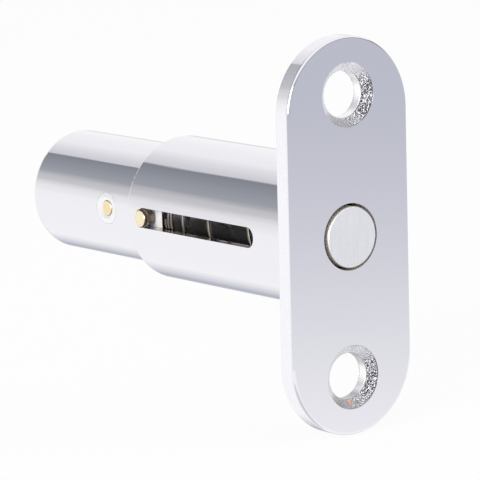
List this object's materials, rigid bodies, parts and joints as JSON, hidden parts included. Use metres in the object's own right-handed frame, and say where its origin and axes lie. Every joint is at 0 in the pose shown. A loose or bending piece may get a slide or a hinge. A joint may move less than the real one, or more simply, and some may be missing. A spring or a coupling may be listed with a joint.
{
  "type": "press plunger lock",
  "caption": "Press lock for sliding doors: a flanged, slotted housing, a spring-returned plunger with a keyed plug, and a bolt that the plunger throws out through the flange.",
  "frame": {"origin": "on the lock axis, on the flange's back face, midway between the screw holes", "axes": "+Y along the lock axis from the flange to the key face, +Z along the flange, slot on the -X side"},
  "size_m": [0.0186, 0.0555, 0.048],
  "materials": {
    "chrome": "polished chrome plate on zinc casting",
    "satin_steel": "brushed",
    "spring_steel": "drawn wire",
    "brass": "turned",
    "zinc": "die-cast, plated"
  },
  "bodies": {
    "housing": {"housing": "chrome", "return_spring": "spring_steel"},
    "plunger": {"plunger_barrel": "chrome", "lock_bolt": "satin_steel", "guide_pin": "brass", "latch_bush": "chrome", "latch_spring": "spring_steel"},
    "plug": {"key_plug": "zinc", "plug_clip": "spring_steel", "wafer_spring_1": "spring_steel", "wafer_spring_2": "spring_steel", "wafer_spring_3": "spring_steel", "wafer_spring_4": "spring_steel", "wafer_spring_5": "spring_steel", "wafer_spring_6": "spring_steel"},
    "latch": {"latch_pin": "brass"},
    "wafer_1": {"wafer_1": "brass"},
    "wafer_2": {"wafer_2": "brass"},
    "wafer_3": {"wafer_3": "brass"},
    "wafer_4": {"wafer_4": "brass"},
    "wafer_5": {"wafer_5": "brass"},
    "wafer_6": {"wafer_6": "brass"}
  },
  "joints": [
    {"name": "plunger_slide", "type": "slide", "parent": "housing", "child": "plunger", "axis": [0, -1, 0], "range_m": [0, 0.02], "stiffness_N_per_m": 300, "springref_m": -0.01, "deforming": ["return_spring"]},
    {"name": "plug_turn", "type": "hinge", "parent": "plunger", "child": "plug", "pos_m": [0, 0.0449, 0], "axis": [0, 1, 0], "range_deg": [0, 90]},
    {"name": "latch_slide", "type": "slide", "parent": "plunger", "child": "latch", "axis": [-1, 0, 0], "range_m": [0, 0.0015], "deforming": ["latch_spring"]},
    {"name": "wafer_1_slide", "type": "slide", "parent": "plug", "child": "wafer_1", "axis": [0, 0, -1], "range_m": [0, 0.0008], "stiffness_N_per_m": 60, "springref_m": 0.0012, "deforming": ["wafer_spring_1"]},
    {"name": "wafer_2_slide", "type": "slide", "parent": "plug", "child": "wafer_2", "axis": [0, 0, -1], "range_m": [0, 0.0008], "stiffness_N_per_m": 60, "springref_m": 0.0012, "deforming": ["wafer_spring_2"]},
    {"name": "wafer_3_slide", "type": "slide", "parent": "plug", "child": "wafer_3", "axis": [0, 0, -1], "range_m": [0, 0.0008], "stiffness_N_per_m": 60, "springref_m": 0.0012, "deforming": ["wafer_spring_3"]},
    {"name": "wafer_4_slide", "type": "slide", "parent": "plug", "child": "wafer_4", "axis": [0, 0, -1], "range_m": [0, 0.0008], "stiffness_N_per_m": 60, "springref_m": 0.0012, "deforming": ["wafer_spring_4"]},
    {"name": "wafer_5_slide", "type": "slide", "parent": "plug", "child": "wafer_5", "axis": [0, 0, -1], "range_m": [0, 0.0008], "stiffness_N_per_m": 60, "springref_m": 0.0012, "deforming": ["wafer_spring_5"]},
    {"name": "wafer_6_slide", "type": "slide", "parent": "plug", "child": "wafer_6", "axis": [0, 0, -1], "range_m": [0, 0.0008], "stiffness_N_per_m": 60, "springref_m": 0.0012, "deforming": ["wafer_spring_6"]}
  ],
  "couplings": [
    {"joint": "latch_slide", "follows": "plug_turn", "m_per_rad": 0.00095493}
  ]
}
